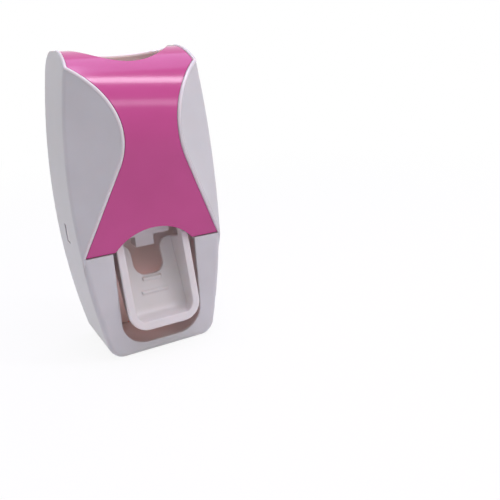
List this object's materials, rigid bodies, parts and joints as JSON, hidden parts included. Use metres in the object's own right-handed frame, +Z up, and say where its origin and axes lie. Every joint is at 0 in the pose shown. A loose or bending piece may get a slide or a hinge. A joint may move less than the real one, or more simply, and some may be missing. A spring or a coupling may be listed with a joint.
{
  "type": "toothpaste dispenser",
  "caption": "Hand-pumped toothpaste dispenser: white barrel-sided case with glossy pink hourglass cover, sprung push cup for the brush and a spout above it.",
  "frame": {"origin": "centre of the bounding box in plan, on the floor of the case", "axes": "+X to the right seen from the front, +Y to the wall behind, +Z up; the cover and the cup face -Y"},
  "size_m": [0.0796, 0.056, 0.16],
  "materials": {
    "white_plastic": "moulded, soft gloss",
    "pink_plastic": "moulded, high gloss",
    "inner_plastic": "moulded, plain",
    "silicone": "moulded silicone, dull",
    "grey_foam": "closed-cell foam with peeled adhesive face",
    "steel": "zinc plated"
  },
  "bodies": {
    "case": {"front_housing": "white_plastic", "rear_cover": "white_plastic", "wall_pads": "grey_foam", "cup_pivot_pins": "steel", "pump_bracket": "inner_plastic", "bracket_screws": "steel", "pump_case": "inner_plastic", "pump_bulb": "silicone", "bulb_clamps": "inner_plastic", "clamp_screws": "steel", "outlet_nozzle": "inner_plastic", "outlet_valve": "silicone", "valve_seat": "inner_plastic", "inlet_valve": "silicone", "tube_socket": "inner_plastic", "socket_gasket": "silicone", "socket_cap": "inner_plastic", "socket_screws": "steel"},
    "cover": {"front_cover": "pink_plastic"},
    "cup": {"push_cup": "white_plastic"}
  },
  "joints": [
    {"name": "cup_push", "type": "hinge", "parent": "case", "child": "cup", "pos_m": [0, -0.004, 0.09], "axis": [1, 0, 0], "range_deg": [0, 13], "stiffness_Nm_per_rad": 1.5, "springref_deg": -2.86, "deforming": ["pump_bulb"]},
    {"name": "cover_hinge", "type": "hinge", "parent": "case", "child": "cover", "pos_m": [0, -0.01403, 0.0615], "axis": [1, 0, 0], "range_deg": [0, 70]}
  ]
}
